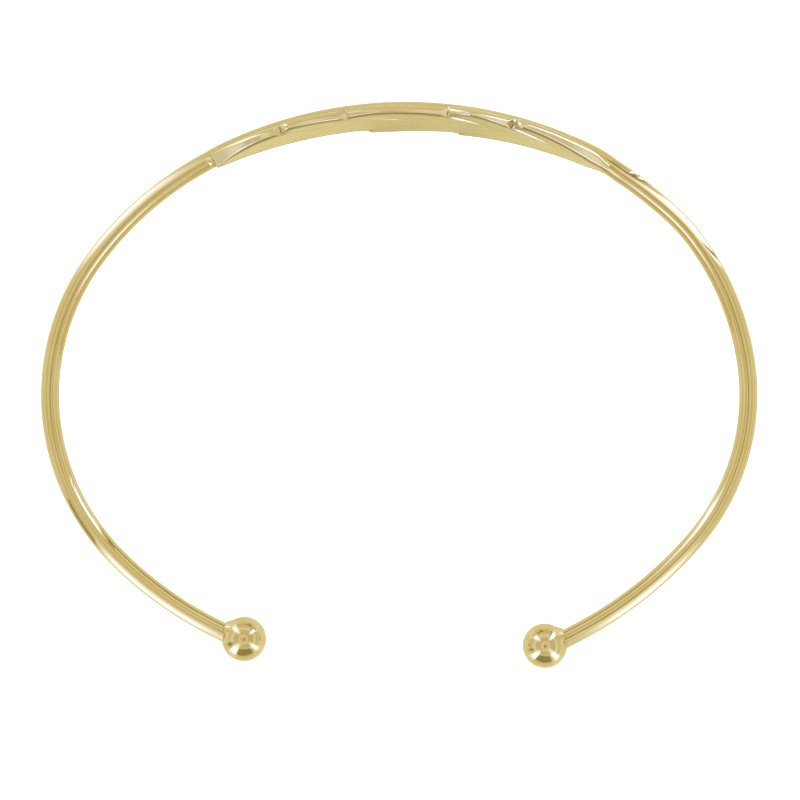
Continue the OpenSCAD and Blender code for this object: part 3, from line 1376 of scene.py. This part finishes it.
@dataclass
class Studio:
    """The pale floor, the light tent round it and the camera.

    Args:
        rest: how the ring lies.
        camera_distance: distance of the camera from the ring's plane.
        view_half: half the width of that plane that the camera sees.
        sensor_w: width of the camera's sensor.
        near_clip: nearest distance that the camera sees, in metres.
        floor_half: half the width of the floor.
        floor_colour: linear colour of the floor.
        floor_roughness: roughness of the floor.
        floor_glow: light that the floor gives to the gold, and to the camera.
        fold_scale: size of the folds in the tent's walls.
        fold_detail: how fine they get.
        fold_sway: how far they sway, in radians.
        headroom: brightest value that the tent's colours can have.
        tent: degrees from straight up and the tent's linear colour there.
        boxes: the softboxes.
        cloths: the dark cloths.
    """

    rest: RestPose
    camera_distance: float = 150.0
    view_half: float = 35.2
    sensor_w: float = 36.0
    near_clip: float = 0.005
    floor_half: float = 600.0
    floor_colour: Colour = (0.90, 0.92, 0.86)
    floor_roughness: float = 0.1
    floor_glow: tuple[float, float] = (0.2, 0.65)
    fold_scale: float = 1.6
    fold_detail: float = 2.0
    fold_sway: float = 0.16
    headroom: float = 1.5
    tent: tuple[tuple[float, Colour], ...] = (
        (0, (0.94, 0.86, 0.72)),
        (10, (1.00, 0.97, 0.92)),
        (17, (1.12, 1.14, 1.24)),
        (24, (1.06, 1.06, 1.08)),
        (31, (0.83, 0.79, 0.68)),
        (40, (0.92, 0.90, 0.84)),
        (47, (0.86, 0.84, 0.76)),
        (57, (1.16, 1.19, 1.42)),
        (67, (1.10, 1.12, 1.30)),
        (75, (0.90, 0.89, 0.84)),
        (86, (0.97, 0.98, 1.04)),
        (95, (1.04, 1.06, 1.26)),
    )
    boxes: tuple[Softbox, ...] = (
        Softbox("panel_back_right", (67.4, 45.7), 30, 110, 56, soft=0.25),
        Softbox("panel_back_left", (-110, 92), 80, 130, 66),
        Softbox("panel_front_left", (-140, -165), 112, 170, 66, soft=0.6),
        Softbox("panel_front_right", (82, -90), 60, 130, 62, glow=3.2, top_glow=1.6),
    )
    cloths: tuple[Cloth, ...] = (
        Cloth("front_opening", (-1, -122, 41), (59, 41), 90),
        Cloth("camera_hood", (6, -20, 158), (19, 19), corners=32, colour=(0.55, 0.49, 0.37)),
        Cloth("side_flag", (56.2, 62.5, 40), (3.2, 45), 90),
        Cloth("front_gap", (-91.6, -50.7, 26), (10, 26), 32, colour=(0.55, 0.50, 0.35)),
        Cloth("gap_flag", (62.8, 32, 40), (1.1, 45), 208, colour=(0.60, 0.54, 0.38)),
        Cloth("inner_flag_right", (14, 8, 5), (8, 5), 218, colour=(0.92, 0.87, 0.72)),
        Cloth("inner_flag_left", (-15, 7, 4.5), (8, 4.5), 322, colour=(0.95, 0.91, 0.78)),
    )

    def build(self) -> None:
        """Builds the camera, the tent, the floor, the cloths and the lights."""
        self.build_camera()
        self.build_tent()
        self.build_floor()
        for piece in (*self.cloths, *self.boxes):
            piece.build()
        bpy.context.scene.view_settings.view_transform = "Standard"

    def build_camera(self) -> None:
        """Looks straight down the ring's axis, with the feather at the top."""
        lens = bpy.data.cameras.new("camera")
        lens.sensor_width = self.sensor_w
        lens.lens = lens.sensor_width / 2 * self.camera_distance / self.view_half
        lens.clip_start = self.near_clip
        camera = bpy.data.objects.new("camera", lens)
        place = self.rest.matrix() @ Vector((0, 0, self.camera_distance))
        camera.matrix_world = Matrix.Translation(place) @ Matrix.Rotation(self.rest.tilt(), 4, "X")
        bpy.context.scene.collection.objects.link(camera)
        bpy.context.scene.camera = camera

    def build_tent(self) -> None:
        """Surrounds the ring with the tent's pale walls, as bright from straight up to down as tent says."""
        world = bpy.data.worlds.new("tent")
        bpy.context.scene.world = world
        world.use_nodes = True
        tree = world.node_tree
        tree.nodes.clear()
        ways = tree.nodes.new("ShaderNodeTexCoord").outputs["Generated"]
        split = wire_up(tree, "ShaderNodeSeparateXYZ", _0=ways)
        polar = worked_out(tree, "ARCCOSINE", split.outputs["Z"])
        folds = wire_up(tree, "ShaderNodeTexNoise", Vector=ways, Scale=self.fold_scale,
                        Detail=self.fold_detail)
        sway = ranged(tree, folds.outputs["Fac"], (0.0, 1.0), (-self.fold_sway, self.fold_sway))
        share = worked_out(tree, "DIVIDE", worked_out(tree, "ADD", polar, sway), math.pi)
        ramp = wire_up(tree, "ShaderNodeValToRGB", Fac=share)
        elements = ramp.color_ramp.elements
        while len(elements) < len(self.tent):
            elements.new(0.5)
        for element, (angle, glow) in zip(elements, self.tent):
            element.position = angle / 180
            element.color = (*(part / self.headroom for part in glow), 1)
        tent = wire_up(tree, "ShaderNodeBackground", Color=ramp.outputs["Color"], Strength=self.headroom)
        plain = wire_up(tree, "ShaderNodeBackground", Color=(1, 1, 1, 1), Strength=1.0)
        rays = tree.nodes.new("ShaderNodeLightPath")
        mix = wire_up(tree, "ShaderNodeMixShader", _0=rays.outputs["Is Camera Ray"],
                      _1=tent.outputs[0], _2=plain.outputs[0])
        wire_up(tree, "ShaderNodeOutputWorld", Surface=mix.outputs[0])

    def build_floor(self) -> None:
        """Lays the plain pale floor."""
        bm = bmesh.new()
        bmesh.ops.create_grid(bm, x_segments=2, y_segments=2, size=self.floor_half * MM)
        material = plain_material("pale_floor", self.floor_colour, self.floor_roughness)
        tree = material.node_tree
        shader = tree.nodes["Principled BSDF"].inputs
        rays = tree.nodes.new("ShaderNodeLightPath")
        shader["Emission Color"].default_value = (1, 1, 1, 1)
        seen = ranged(tree, rays.outputs["Is Camera Ray"], (0.0, 1.0), self.floor_glow)
        tree.links.new(seen, shader["Emission Strength"])
        stage_piece(bm, "floor", material)


def stands_for(piece: bpy.types.Object, node: str) -> None:
    """Says which node a finished piece stands for, and reports it."""
    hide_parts(node)
    LOG.info("%s: %d faces, for %s", piece.name, len(piece.data.polygons), node)


def main() -> None:
    """Builds the studio and the bangle's pieces in order, and says what each one is."""
    logging.basicConfig(level=logging.INFO, format="%(name)s %(message)s")
    oval = Oval()
    shape = FeatherShape()
    left = Arm(oval, oval.left, 1)
    right = Arm(oval, oval.right, -1)
    rest = RestPose(oval, shape, BallShape(), (left, right))
    Studio(rest).build()

    feather = Feather(rest)
    stands_for(feather.build_plate(), "band")
    stands_for(feather.build_shaft(), "band")
    stands_for(feather.build_bead(), "band")
    stands_for(WireArm(left, rest, "arm_left", shape.into_tip).build(), "band")
    stands_for(WireArm(right, rest, "arm_right", shape.length - shape.into_quill).build(), "band")
    stands_for(EndBall(left, rest, "ball_left_polished").build(), "ball_left")
    stands_for(EndBall(right, rest, "ball_right_polished").build(), "ball_right")


if __name__ == "__main__":
    main()
